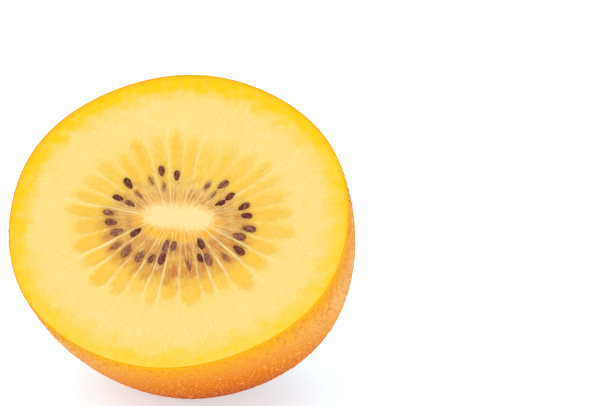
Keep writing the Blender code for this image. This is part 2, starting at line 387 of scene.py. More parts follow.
# The walls between the lobes
WALL_STRENGTH_TOP_BOTTOM = (0.42, 0.67)
WALL_STRENGTH_DRIFT = 0.45
WALL_STRENGTH_DRAW = 31
LEAST_WALL_STRENGTH = 0.12
WALL_PATCH_MIDDLE = 0.85
WALL_PATCHES = 0.35
WALL_PATCH_LENGTH = 0.0026
WALL_PATCH_DRAW = 28
WALL_FADED_TOP_BOTTOM = (0.0082, 0.015)  # the ring where its crisp line is gone
WALL_FADED_DRIFT = 0.0018
WALL_FADED_DRAW = 32
WALL_FADE = 0.004
WALL_LINE_WIDTH = 0.0001  # near the core
WALL_WIDENS_TOP_BOTTOM = (0.0082, 0.0052)  # with each metre of ring
SOFT_WALL = 0.6
SOFT_WALL_WIDTH = 0.00024
SOFT_WALL_APPEARS = (0.006, 0.009)
SOFT_WALL_FADES = (0.0145, 0.0175)
WALL_APPEARS = (CORE_EDGE - 0.0003, LOBE_START)

# The fine threads inside some locules
THREAD_STRENGTH = 0.7
THREAD_KEPT = 0.45
THREAD_KEPT_DRIFT = 0.9
THREAD_KEPT_DRAW = 33
THREAD_ASIDE = 0.16
THREAD_ASIDE_DRAW = 35
THREAD_WIDTH = 0.00009
THREAD_APPEARS = (CORE_EDGE, 0.0026)
THREAD_FADES = (0.0042, 0.0078)


def walls_and_threads(face):
    """Pale lines between locules, crisp near the core and soft farther out, and fine threads."""
    wall_below = below_of(wall_turns()[0])
    strength = between(WALL_STRENGTH_TOP_BOTTOM, wall_below)
    strength = strength + WALL_STRENGTH_DRIFT * draws(WALL_STRENGTH_DRAW, LOCULES)
    strength = np.clip(strength, LEAST_WALL_STRENGTH, 1.0)[face.nearest_wall]
    patches = WALL_PATCH_MIDDLE + WALL_PATCHES * face.ripples(WALL_PATCH_LENGTH, WALL_PATCH_DRAW)
    end = between(WALL_FADED_TOP_BOTTOM, wall_below)
    end = (end + WALL_FADED_DRIFT * draws(WALL_FADED_DRAW, LOCULES))[face.nearest_wall]
    widens = between(WALL_WIDENS_TOP_BOTTOM, face.below)
    crisp = bell(face.to_wall, WALL_LINE_WIDTH + widens * face.ring)
    crisp = crisp * (1 - ramp(face.ring, end - WALL_FADE, end))
    soft = SOFT_WALL * bell(face.to_wall, SOFT_WALL_WIDTH) * ramp(face.ring, *SOFT_WALL_APPEARS)
    soft = soft * (1 - ramp(face.ring, *SOFT_WALL_FADES))
    wall = (crisp + soft) * strength * patches * ramp(face.ring, *WALL_APPEARS)

    kept = THREAD_KEPT + THREAD_KEPT_DRIFT * draws(THREAD_KEPT_DRAW, LOCULES)
    kept = np.clip(kept, 0.0, 1.0)[face.locule]
    place = 0.5 + THREAD_ASIDE * draws(THREAD_ASIDE_DRAW, LOCULES)[face.locule]
    thread = bell((face.share - place) * face.locule_width, THREAD_WIDTH) * kept
    thread = thread * ramp(face.ring, *THREAD_APPEARS) * (1 - ramp(face.ring, *THREAD_FADES))
    return np.clip(np.maximum(wall, THREAD_STRENGTH * thread), 0.0, 1.0)


# The haze of darker jelly round the seeds
HAZE_STARTS_TOP_BOTTOM = (0.0016, 0.0032)
HAZE_FULL_TOP_BOTTOM = (0.0036, 0.0052)
HAZE_ENDS_TOP_BOTTOM = (0.008, 0.0122)
HAZE_END_RIPPLE = 0.0008
HAZE_END_RIPPLE_LENGTH = 0.0024
HAZE_END_RIPPLE_DRAW = 26
HAZE_FADE = 0.0034
HAZE_STRENGTH_TOP_BOTTOM = (0.62, 1.0)
HAZE_PATCH_MIDDLE = 0.9
HAZE_PATCHES = 0.3
HAZE_PATCH_LENGTH = 0.0032
HAZE_PATCH_DRAW = 22


def haze(face):
    """The darker jelly round the seeds, deeper and wider in the lower half."""
    patches = HAZE_PATCH_MIDDLE + HAZE_PATCHES * face.ripples(HAZE_PATCH_LENGTH, HAZE_PATCH_DRAW)
    end = between(HAZE_ENDS_TOP_BOTTOM, face.below)
    end = end + HAZE_END_RIPPLE * face.ripples(HAZE_END_RIPPLE_LENGTH, HAZE_END_RIPPLE_DRAW)
    shows = ramp(face.ring, between(HAZE_STARTS_TOP_BOTTOM, face.below),
                 between(HAZE_FULL_TOP_BOTTOM, face.below))
    shows = shows * (1 - ramp(face.ring, end - HAZE_FADE, end))
    return np.clip(shows * between(HAZE_STRENGTH_TOP_BOTTOM, face.below) * patches, 0.0, 1.0)


# The golden fringe round the core
FRINGE_RING_TOP_BOTTOM = (0.0025, 0.0029)
FRINGE_WIDTH = 0.0016
FRINGE_STRENGTH_TOP_BOTTOM = (0.45, 1.0)
FRINGE_STRENGTH_SIDEWAYS = 0.3


def fringe(face):
    """The golden band round the core, strongest below and at the sides."""
    strength = between(FRINGE_STRENGTH_TOP_BOTTOM, face.below)
    strength = np.clip(strength + FRINGE_STRENGTH_SIDEWAYS * face.sideways, 0.0, 1.0)
    return bell(face.ring - between(FRINGE_RING_TOP_BOTTOM, face.below), FRINGE_WIDTH) * strength


# The pale core, and how far its ragged edge reaches
CORE_FADES = (0.0004, 0.0026)
CORE_RIPPLE = 0.0004
CORE_RIPPLE_LENGTH = 0.0009
CORE_RIPPLE_DRAW = 23
CORE_REACH_AT_WALLS = 0.0004
CORE_REACH_AT_CORNERS = 0.0005
CORE_REACH_TOP_BOTTOM = (0.0, -0.0003)
CORE_REACH_SIDEWAYS = 0.0004
CORE_REACH_RIGHT = 0.0001
CORE_REACH_ABOVE = 0.0006


def core(face):
    """The pale core, with a soft edge that reaches out along the walls and at its corners."""
    reach = CORE_RIPPLE * face.ripples(CORE_RIPPLE_LENGTH, CORE_RIPPLE_DRAW)
    reach = reach + CORE_REACH_AT_WALLS * (1 - np.sin(np.pi * face.share))
    reach = reach + CORE_REACH_AT_CORNERS * np.abs(np.sin(2 * face.turn))
    reach = reach + between(CORE_REACH_TOP_BOTTOM, face.below)
    reach = reach + CORE_REACH_SIDEWAYS * face.sideways + CORE_REACH_RIGHT * np.cos(face.turn)
    reach = reach + CORE_REACH_ABOVE * (1 - face.below) ** 2
    return 1 - ramp(face.ring - reach, *CORE_FADES)


# Seeds under the surface, and painted shadows round the bare ones. A size is a length and a width.
LOCULES_WITH_BURIED_SEED = (5, 10, 18, 24, 27)
LOCULES_WITH_BURIED_INNER_SEED = (4, 9, 12)
BURIED_STRENGTH = 0.85
BURIED_SIZE = (0.0011, 0.00052)
BURIED_INNER_STRENGTH = 0.75
BURIED_INNER_SIZE = (0.0011, 0.00046)
BURIED_INNER_RING = INNER_ROW + 0.0008
SEED_SHADOW = 0.2
SEED_SHADOW_SIZE = (0.0016, 0.0009)


def buried_seeds_and_painted_shadows(face):
    """Soft dark spots: seeds under the surface, and a faint painted shadow round each bare seed.
    """
    middles = locule_middles()
    outer_rings = OUTER_ROW + OUTER_ROW_DRIFT * draws(ROW_DRAW, LOCULES)
    shadows = np.zeros(face.right.shape)
    for number in LOCULES_WITH_BURIED_SEED:
        spot = face.spot(middles[number], outer_rings[number], BURIED_SIZE)
        shadows += BURIED_STRENGTH * spot
    for number in LOCULES_WITH_BURIED_INNER_SEED:
        spot = face.spot(middles[number], BURIED_INNER_RING, BURIED_INNER_SIZE)
        shadows += BURIED_INNER_STRENGTH * spot
    # Painted shadow round each bare seed.
    for turn, ring, _, _ in seed_places():
        shadows += SEED_SHADOW * face.spot(turn, ring, SEED_SHADOW_SIZE)
    return np.clip(shadows, 0.0, 1.0)


# The orange flecks
FLECK_DRAW = 34
FLECK_ASIDE = 0.4  # of a locule's width
FLECK_RING = OUTER_ROW - 0.0012
FLECK_RING_DRIFT = 0.0012
FLECK_SIZE = np.array((0.0003, 0.00014))
FLECK_SIZE_DRIFT = 0.6


def flecks(face):
    """Small orange specks beside every second seed of the outer row."""
    middles = locule_middles()
    aside, along, size = draws(FLECK_DRAW, 3 * LOCULES).reshape(3, LOCULES)
    specks = np.zeros(face.right.shape)
    for number in LOCULES_WITH_SEED[::2]:
        turn = middles[number] + FLECK_ASIDE * math.tau / LOCULES * aside[number]
        ring = FLECK_RING + FLECK_RING_DRIFT * along[number]
        specks += face.spot(turn, ring, FLECK_SIZE * (1 + FLECK_SIZE_DRIFT * size[number]))
    return np.clip(specks, 0.0, 1.0)


# The painted yellow glow along the rim and the painted golden glow at its edge, both for light
# through the skin and strongest on the far upper side. Rings are shares of the way to the cut
# edge, and a pair named for the low and far sides holds its value on the rim's lower and far,
# upper side.
RIM_FAR_TURN = math.radians(110)
RIM_FAR_MIDDLE = 0.5
RIM_FAR_SWING = 0.75
RIM_RIPPLES = ((0.03, 0.004, 24), (0.014, 0.0016, 36))  # height, length and draw
RIM_STARTS = 0.775
RIM_FULL_LOW_FAR = (0.97, 0.94)
RIM_STRENGTH_LOW_FAR = (0.74, 1.0)
GOLDEN_EDGE = 0.8
GOLDEN_EDGE_STARTS = (0.95, 0.99)


def rim_glow_and_golden_edge_glow(face):
    """A painted yellow glow along the rim next to the skin and, along its far upper side, a
    painted golden glow at the edge.
    """
    far = RIM_FAR_MIDDLE + RIM_FAR_SWING * np.cos(face.turn - RIM_FAR_TURN)
    far = np.clip(far, 0.0, 1.0)
    along = face.ring / HALF_HEIGHT
    rippled = along + sum(height * face.ripples(length, draw)
                          for height, length, draw in RIM_RIPPLES)
    rim_glow = ramp(rippled, RIM_STARTS, between(RIM_FULL_LOW_FAR, far))
    rim_glow = rim_glow * between(RIM_STRENGTH_LOW_FAR, far)
    return rim_glow, GOLDEN_EDGE * far * ramp(along, *GOLDEN_EDGE_STARTS)


# The flesh

LOOKS_LOBE_SINK = 0.85 * LOBE_SINK
CELL_HEIGHT = 0.00002
CELL_LENGTH = 0.0013
CELL_DRAW = 25
CELLS_END = (HALF_HEIGHT - 0.002, HALF_HEIGHT)


def face_height(face, tissues):
    """The cut face's low relief: sunk lobes, raised walls and core, a slight crown, fine cells."""
    crown = np.sin(np.pi * np.clip((face.ring - LOBE_END) / (HALF_HEIGHT - LOBE_END), 0.0, 1.0))
    cells = face.ripples(CELL_LENGTH, CELL_DRAW) * (1 - ramp(face.ring, *CELLS_END))
    return (CORE_RISE * tissues["core"] + FLESH_CROWN * crown + WALL_RISE * tissues["wall"]
            - LOOKS_LOBE_SINK * tissues["lobe"] + CELL_HEIGHT * cells)


def make_flesh(material):
    """The flesh: the patterned cut face, closed behind by a plain body just inside the skin."""
    face = CutFace()
    rim_glow, golden_edge_glow = rim_glow_and_golden_edge_glow(face)
    tissues = {"lobe": lobes(face), "wall": walls_and_threads(face), "haze": haze(face),
               "fringe": fringe(face), "core": core(face), "buried_and_shadow": buried_seeds_and_painted_shadows(face),
               "fleck": flecks(face), "rim_glow": rim_glow, "golden_edge_glow": golden_edge_glow}
    front = to_world(face.right, face.up, face_height(face, tissues))

    behind = np.linspace(0, 1, BODY_ROWS + 2)[1:-1, None]
    inset = (SKIN + SKIN_CLEARANCE) / HALF_HEIGHT
    body = side_world(face.turn, behind, inset)
    rows = np.concatenate((front, body))
    points = np.concatenate((to_world(0.0, 0.0, CORE_RISE)[None], rows.reshape(-1, 3),
                             side_world(0.0, 1.0, inset)[None]))
    points[:, 2] = np.maximum(points[:, 2], SKIN + SKIN_CLEARANCE)
    piece = new_piece("cut_flesh", points, grid_faces(*rows.shape[:2]), material)
    piece.data.set_sharp_from_angle(angle=SHARP_ANGLE)

    plain = np.zeros(body.shape[:2])
    for name, values in tissues.items():
        at_middle = 1.0 if name == "core" else 0.0
        at_end = 1.0 if name == "rim_glow" else 0.0
        filled = np.concatenate((values, plain + at_end))
        set_attribute(piece, name, poled(at_middle, filled, at_end))
    along = np.concatenate((face.ring / HALF_HEIGHT + 0 * face.turn, plain + 1))
    set_attribute(piece, "from_middle", poled(0.0, along, 1.0))
    turns = np.broadcast_to(face.turn, along.shape)
    rays = np.stack((np.cos(turns), np.sin(turns), along), axis=-1).reshape(-1, 3)
    rays = np.concatenate((((1.0, 0.0, 0.0),), rays, ((1.0, 0.0, 1.0),)))
    set_attribute(piece, "ray", rays, "FLOAT_VECTOR")
    return piece


# The seeds

SEED_ROWS = 15
SEED_COLUMNS = 20
FILM_TOP_BOTTOM = (0.35, 0.75)
FILM_DRIFT = 0.5
FILM_DRAW = 41


def seed_places():
    """Each seed's turn, distance along its ray, size, and heading.

    Draws are used in turn by the outer row's locules and then by the inner row's.
    """
    middles = locule_middles()
    drift = draws(ROW_DRAW, 2 * LOCULES)
    sizes = draws(SEED_SIZE_DRAW, 2 * LOCULES)
    headings = draws(SEED_TURN_DRAW, 2 * LOCULES)
    rows = ((LOCULES_WITH_SEED, OUTER_ROW, OUTER_ROW_DRIFT),
            (LOCULES_WITH_INNER_SEED, INNER_ROW, INNER_ROW_DRIFT))
    places = []
    for number, (locules, row, row_drift) in enumerate(rows):
        for locule in locules:
            draw = number * LOCULES + locule
            turn = middles[locule]
            places.append((turn, row + row_drift * drift[draw], 1 + SEED_SIZE_DRIFT * sizes[draw],
                           turn + SEED_TURN_DRIFT * headings[draw]))
    return np.array(places)


def drop():
    """A seed's own shape, a drop with its point towards -X: its two poles and the rows between."""
    angle = (np.pi * np.arange(1, SEED_ROWS + 1) / (SEED_ROWS + 1))[:, None]
    turn = math.tau * np.arange(SEED_COLUMNS) / SEED_COLUMNS
    girth = np.sin(angle) * (1 + SEED_POINT * np.cos(angle))
    along = SEED_LENGTH / 2 * np.cos(angle) + 0 * turn
    across = SEED_WIDTH / 2 * girth * np.cos(turn)
    high = SEED_THICKNESS / 2 * girth * np.sin(turn)
    grid = np.stack((along, across, high), axis=-1).reshape(-1, 3)
    pole = np.array((SEED_LENGTH / 2, 0.0, 0.0))
    return np.concatenate((pole[None], grid, -pole[None]))


def make_seeds(material):
    """All the seeds that the knife laid bare, as one piece of closed drops sunk in the flesh."""
    shape = drop()
    places = seed_places()
    turn, ring, size, heading = places.T[..., None]
    local = size[..., None] * shape[None]
    right, up = face_place(turn, ring)
    out = SEED_SHOWS - SEED_THICKNESS / 2 - LOBE_SINK / 2
    points = to_world(right + local[..., 0] * np.cos(heading) - local[..., 1] * np.sin(heading),
                      up + local[..., 0] * np.sin(heading) + local[..., 1] * np.cos(heading),
                      out + local[..., 2])
    faces = repeated_faces(SEED_ROWS, SEED_COLUMNS, len(shape), len(places))
    piece = new_piece("seeds", points, faces, material)

    film = between(FILM_TOP_BOTTOM, below_of(places[:, 0]))
    film = np.clip(film + FILM_DRIFT * draws(FILM_DRAW, len(places)), 0.0, 1.0)
    set_attribute(piece, "film", np.repeat(film, len(shape)))
    crest = shape[:, 2] / (SEED_THICKNESS / 2)
    set_attribute(piece, "crest", np.tile(crest, len(places)))
    number = np.repeat(np.arange(len(places)), len(shape))[:, None]
    own = np.tile(shape / SEED_LENGTH, (len(places), 1)) + number
    set_attribute(piece, "own", own, "FLOAT_VECTOR")
    return piece


# The skin


def make_skin(material):
    """The skin: a thin closed shell from the cut edge round to the stem end, flat at rest."""
    turn = math.tau * np.arange(SIDE_COLUMNS) / SIDE_COLUMNS
    share = np.linspace(0, 1, SIDE_ROWS + 1)[:-1, None] ** SIDE_CROWDING
    inner_share = share[::INNER_SKIN_STEP]
    inset = SKIN / HALF_HEIGHT
    outer = side_world(turn, share)
    outer[..., 2] = np.maximum(outer[..., 2], 0.0)
    inner = side_world(turn, inner_share, inset)
    inner[..., 2] = np.maximum(inner[..., 2], SKIN)
    rows = np.concatenate((inner[::-1], outer))
    points = np.concatenate((side_world(0.0, 1.0, inset)[None], rows.reshape(-1, 3),
                             side_world(0.0, 1.0)[None]))
    piece = new_piece("skin", points, grid_faces(*rows.shape[:2]), material)
    piece.data.set_sharp_from_angle(angle=SHARP_ANGLE)
    along = np.concatenate((inner_share[::-1], share)) + 0 * turn
    set_attribute(piece, "from_edge", poled(1.0, along, 1.0))
    return piece


# The dots

DOTS = 9000
DOT_SIDES = 5
FIRST_DOT = 0.014  # as a share of the side's area from the cut edge
DOTS_SPREAD = 0.978
DOT_SHARE_DRIFT = 0.006
DOT_SHARE_DRAW = 51
DOT_TURN_DRIFT = 0.02
DOT_TURN_DRAW = 52
GOLDEN_ANGLE = math.pi * (3 - math.sqrt(5))
AREA_STEPS = 800
AREA_TURN = math.radians(45)
DOT_RADIUS = 0.00022
DOT_RADIUS_DRIFT = 0.5
DOT_RADIUS_DRAW = 53
LARGE_DOT_GROWTH = 0.6
LARGE_DOT_ABOVE = 0.86
LARGE_DOT_DRAW = 54
DOT_HEIGHT = 0.26  # of its radius
DOT_ROUGHNESS = 0.28
DOT_ROUGHNESS_DRAW = 55
DOT_CROWN_WIDTH = 0.62  # of its radius
DOT_CROWN_HEIGHT = 0.75  # of its height
DOT_SUNK = 0.00002
LOWEST_DOT = 0.0008
DOT_TONE_DRAW = 56
NEAR_EDGE_TONE = 0.7
NEAR_EDGE_ENDS = (0.04, 0.16)
INSIDE_POINT = MIDDLE - 0.01 * NORMAL
SMALL_STEP = 1e-4  # for the side's slopes


def dot_places():
    """Where the dots stand: a golden-angle spiral, even over the side's area, then shaken."""
    share = np.linspace(0, 1, AREA_STEPS)
    right, up, out = side_place(np.full_like(share, AREA_TURN), share)
    step = np.hypot(np.hypot(np.diff(right), np.diff(up)), np.diff(out))
    area = np.concatenate(((0,), np.cumsum(step * np.hypot(right, up)[1:])))
    number = np.arange(DOTS)
    even = (number + 0.5) / DOTS
    shaken = FIRST_DOT + DOTS_SPREAD * even + DOT_SHARE_DRIFT * draws(DOT_SHARE_DRAW, DOTS)
    turn = GOLDEN_ANGLE * number + DOT_TURN_DRIFT * draws(DOT_TURN_DRAW, DOTS)
    return turn, np.interp(shaken * area[-1], area, share)


def side_axes(turn, share, place):
    """Three unit vectors on the side at each place: round it, along it and out of it."""
    round_it = side_world(turn + SMALL_STEP, share) - place
    along_it = side_world(turn, share + SMALL_STEP) - place
    round_it /= np.linalg.norm(round_it, axis=-1, keepdims=True)
    out = np.cross(round_it, along_it)
    out /= np.linalg.norm(out, axis=-1, keepdims=True)
    out *= np.sign(np.sum(out * (place - INSIDE_POINT), axis=-1, keepdims=True))
    return round_it, np.cross(out, round_it), out


def make_dots(material):
    """The skin's raised dots: low rough domes of a few faces each, sunk a little in the skin."""
    turn, share = dot_places()
    place = side_world(turn, share)
    round_it, along_it, out = side_axes(turn, share, place)
    large = draws(LARGE_DOT_DRAW, DOTS) > LARGE_DOT_ABOVE
    size = DOT_RADIUS * (1 + DOT_RADIUS_DRIFT * draws(DOT_RADIUS_DRAW, DOTS))
    size = size * (1 + LARGE_DOT_GROWTH * large)
    kept = place[:, 2] > LOWEST_DOT
    place, out, round_it, along_it = (part[kept] for part in (place, out, round_it, along_it))
    size, share = size[kept], share[kept]
    high = DOT_HEIGHT * size

    around = math.tau * np.arange(DOT_SIDES) / DOT_SIDES
    rough = 1 + DOT_ROUGHNESS * draws(DOT_ROUGHNESS_DRAW, len(size) * DOT_SIDES)
    spread = size[:, None] * rough.reshape(-1, DOT_SIDES)
    wide = (round_it[:, None] * np.cos(around)[:, None] + along_it[:, None]
            * np.sin(around)[:, None]) * spread[..., None]
    base = place[:, None] + wide - DOT_SUNK * out[:, None]
    crown = place[:, None] + DOT_CROWN_WIDTH * wide
    crown = crown + DOT_CROWN_HEIGHT * high[:, None, None] * out[:, None]
    top = (place + high[:, None] * out)[:, None]
    low = (place - DOT_SUNK * out)[:, None]
    points = np.concatenate((top, crown, base, low), axis=1)
    copies, corners = points.shape[:2]
    faces = repeated_faces(2, DOT_SIDES, corners, copies)
    piece = new_piece("skin_dots", points, faces, material)
    tone = 0.5 + 0.5 * draws(DOT_TONE_DRAW, copies)
    set_attribute(piece, "tone", np.repeat(tone, corners))
    near_edge = NEAR_EDGE_TONE * (1 - ramp(share, *NEAR_EDGE_ENDS))
    set_attribute(piece, "near_edge", np.repeat(near_edge, corners))
    return piece


# The stem's stub

# Its turned outline: radius and height, each as a share of the stub's
STUB_OUTLINE = np.array(((0.3, 0.72), (0.55, 0.76), (0.7, 0.86), (0.8, 0.97), (0.9, 1.0),
                         (0.97, 0.93), (0.98, 0.8), (0.93, 0.62), (0.9, 0.45), (0.91, 0.3),
                         (0.96, 0.16), (1.05, 0.06), (1.12, -0.02), (1.0, -0.1)))
STUB_COLUMNS = 96
STUB_TOP = 0.7  # the hollow's middle, as a share of the stub's height
STUB_ROOT = 0.1
STUB_FIBRES = ((0.035, 17, 5), (0.02, 31, -3))  # height, count round and twist
STUB_FIBRES_START = (0.3, 0.9)
STUB_RAGGED = 0.07
STUB_RAGGED_COUNT = 5
STUB_RAGGED_START = (0.6, 1.0)
STUB_FOOT = DIMPLE_DEPTH - DEPTH


def make_stub(material):
    """The dry stub: a turned outline with a hollowed, ragged top, ribbed along by its fibres."""
    turn = math.tau * np.arange(STUB_COLUMNS) / STUB_COLUMNS
    radius, height = (part[:, None] for part in STUB_OUTLINE.T)
    fibres = sum(rise * np.cos(count * turn + twist * height)
                 for rise, count, twist in STUB_FIBRES)
    ragged = STUB_RAGGED * np.cos(STUB_RAGGED_COUNT * turn + 1) * ramp(height, *STUB_RAGGED_START)
    wide = STUB_RADIUS * radius * (1 + fibres * ramp(radius, *STUB_FIBRES_START))
    out = STUB_FOOT - STUB_HEIGHT * (height + ragged)
    rows = to_world(wide * np.cos(turn), wide * np.sin(turn), out)
    top = to_world(0.0, 0.0, STUB_FOOT - STUB_TOP * STUB_HEIGHT)
    root = to_world(0.0, 0.0, STUB_FOOT + STUB_ROOT * STUB_HEIGHT)
    points = np.concatenate((top[None], rows.reshape(-1, 3), root[None]))
    faces = [face[::-1] for face in grid_faces(*rows.shape[:2])]
    return new_piece("stem_stub", points, faces, material)


# The finishes

# The colours, as read off a screen: red, green and blue from 0 to 255
FLESH_TONES = ((0.0, (253, 220, 132)), (0.3, (252, 204, 84)), (0.45, (253, 209, 98)),
               (0.62, (253, 218, 126)), (0.75, (253, 218, 128)), (1.0, (253, 218, 126)))
LOBE_GOLD = (251, 197, 66)
FRINGE_GOLD = (249, 176, 20)
HAZE_BROWN = (204, 124, 58)
CORE_CREAM = (254, 224, 155)
# Painted highlights: wet sparkle, partly pale fibre strands in the haze.
WALL_CREAM = (254, 228, 160)
GLINT_CREAM = (255, 226, 160)
# Seeds under the surface, and painted shadow round the bare ones.
BURIED_AND_SHADOW_PURPLE = (132, 52, 54)
FLECK_ORANGE = (226, 118, 10)
# Painted glow: the rim's yellow and the golden edge's yellow stand for light through the skin at
# the cut edge.
RIM_GLOW_YELLOW = (255, 206, 0)
GOLDEN_EDGE_GLOW_YELLOW = (255, 190, 0)
STREAK_CREAM = (255, 238, 185)
DEEP_YELLOW = (252, 204, 50)

# Painted sheen: the two tans stand for a pale grazing sheen on the skin near the cut edge; the
# skin's own orange lies farther from the edge.
SKIN_SHEEN_TAN = (255, 184, 106)
SKIN_DEEPER_SHEEN_TAN = (252, 172, 88)
# Painted shade: a deeper orange low on the fruit.
SKIN_LOW_SHADE_ORANGE = (250, 148, 0)
SKIN_BELOW_EDGE = (240, 142, 20)
# Painted glow: brighter orange next to the cut edge, for light through the skin.
SKIN_EDGE_GLOW = (253, 165, 6)
SKIN_AT_STEM = (132, 74, 26)
# Painted shade underneath the fruit, darkest at the floor.
SKIN_UNDERSIDE_SHADE = (202, 72, 0)
SKIN_FLOOR_SHADE = (140, 40, 0)
SKIN_MOTTLE = (216, 96, 0)
SKIN_GRAIN = (242, 140, 22)
# Painted glow along the very cut edge.
SKIN_CUT_EDGE_GLOW = (254, 174, 8)

DOT_TAN = (255, 184, 94)
DOT_DEEPER_TAN = (250, 156, 62)
DOT_NEAR_EDGE = (246, 142, 50)
# Painted shade on the dots underneath the fruit.
DOT_UNDERSIDE_SHADE = (212, 88, 8)
DOT_GRAIN = (228, 112, 24)

SEED_DARK = (92, 22, 10)
# Pale mottling, partly the coat's own and partly painted wet highlights.
SEED_MOTTLE_AND_GLINT = (166, 102, 74)
SEED_FILM = (156, 98, 74)
SEED_THREADS = (206, 150, 98)
SEED_SIDE = (168, 106, 66)

STALK_DARK = (104, 46, 18)
STALK_PALE = (190, 116, 60)
FLOOR_COLOUR = (188, 226, 250)
FLOOR_GRAIN = (191, 229, 252)
FLOOR_GLOW = 0.56
WHITE = (1.0, 1.0, 1.0, 1.0)

SHADOW_LEAN = -0.2  # how much lower a place counts for each metre to the right, so that the painted shade underneath reaches higher on the right


def screen_colour(red, green, blue):
    """A colour as read off a screen, each part from 0 to 255, in the shader's linear numbers."""
    parts = (max(part, 0.5) / 255 for part in (red, green, blue))
    return tuple(((part + 0.055) / 1.055) ** 2.4 for part in parts) + (1.0,)


class Finish:
    """A procedural material, built node by node."""

    def __init__(self, name):
        self.material = bpy.data.materials.new(name)
        self.material.use_nodes = True
        self.tree = self.material.node_tree
        self.shader = self.tree.nodes["Principled BSDF"]

    def node(self, kind, inputs=None, **settings):
        """A new node of this kind, with its settings made and its inputs set or linked."""
        node = self.tree.nodes.new(kind)
        for name, value in settings.items():
            setattr(node, name, value)
        for name, value in (inputs or {}).items():
            self.feed(node.inputs[name], value)
        return node

    def feed(self, socket, value):
        """Links a socket to another one, or sets it to a plain value."""
        if isinstance(value, bpy.types.NodeSocket):
            self.tree.links.new(value, socket)
        else:
            socket.default_value = value

    def share(self, name):
        """A number stored on the piece's points."""
        return self.node("ShaderNodeAttribute", attribute_name=name).outputs["Fac"]

    def vector(self, name):
        """A vector stored on the piece's points."""
        return self.node("ShaderNodeAttribute", attribute_name=name).outputs["Vector"]

    def place(self):
        """The piece's own coordinates, in metres."""
        return self.node("ShaderNodeTexCoord").outputs["Object"]

    def shadow_height(self, place):
        """The height above the floor, less towards the right, that sets the painted shade on the
        underside.
        """
        parts = self.node("ShaderNodeSeparateXYZ", {"Vector": place}).outputs
        inputs = {0: parts["X"], 1: SHADOW_LEAN, 2: parts["Z"]}
        return self.node("ShaderNodeMath", inputs, operation="MULTIPLY_ADD").outputs[0]

    def noise(self, vector, scale, detail, roughness=0.5):
        """Cloudy noise from 0 to 1, with one scale for all ways or one for each."""
        if isinstance(scale, tuple):
            vector = self.node("ShaderNodeMapping", {"Vector": vector, "Scale": scale}).outputs[0]
            scale = 1.0
        inputs = {"Vector": vector, "Scale": scale, "Detail": detail, "Roughness": roughness}
        return self.node("ShaderNodeTexNoise", inputs).outputs["Fac"]

    def fit(self, value, ends, new_ends=(0.0, 1.0)):
        """A value's range between two ends, carried smoothly to another pair of ends."""
        inputs = {"Value": value, "From Min": ends[0], "From Max": ends[1],
                  "To Min": new_ends[0], "To Max": new_ends[1]}
        return self.node("ShaderNodeMapRange", inputs, interpolation_type="SMOOTHSTEP").outputs[0]

    def times(self, first, second):
        """The product of two numbers."""
        return self.node("ShaderNodeMath", {0: first, 1: second}, operation="MULTIPLY").outputs[0]

    def mix(self, share, first, second):
        """Two colours mixed: the first where the share is 0 and the screen colour where it is 1.

        The first is a socket or another screen colour.
        """
        node = self.node("ShaderNodeMix", data_type="RGBA")
        if isinstance(first, tuple):
            first = screen_colour(*first)
        for number, value in ((0, share), (6, first), (7, screen_colour(*second))):
            self.feed(node.inputs[number], value)
        return node.outputs[2]

    def tones(self, value, stops):
        """A colour that runs through these stops, each a place and a screen colour."""
        node = self.node("ShaderNodeValToRGB", {"Fac": value})
        ramp_points = node.color_ramp.elements
        while len(ramp_points) < len(stops):
            ramp_points.new(1.0)
        for point, (place, colour) in zip(ramp_points, stops):
            point.position = place
            point.color = screen_colour(*colour)
        return node.outputs["Color"]

    def bump(self, height, depth, normal=None):
        """A surface normal tilted by a height from 0 to 1 that stands for this many metres."""
        inputs = {"Height": height, "Distance": depth, "Strength": 1.0}
        node = self.node("ShaderNodeBump", inputs)
        if normal:
            self.feed(node.inputs["Normal"], normal)
        return node.outputs[0]

    def finished(self, sockets):
        """Sets the shader's sockets by their names, and ends the material."""
        for name, value in sockets.items():
            self.feed(self.shader.inputs[name], value)
        return self.material


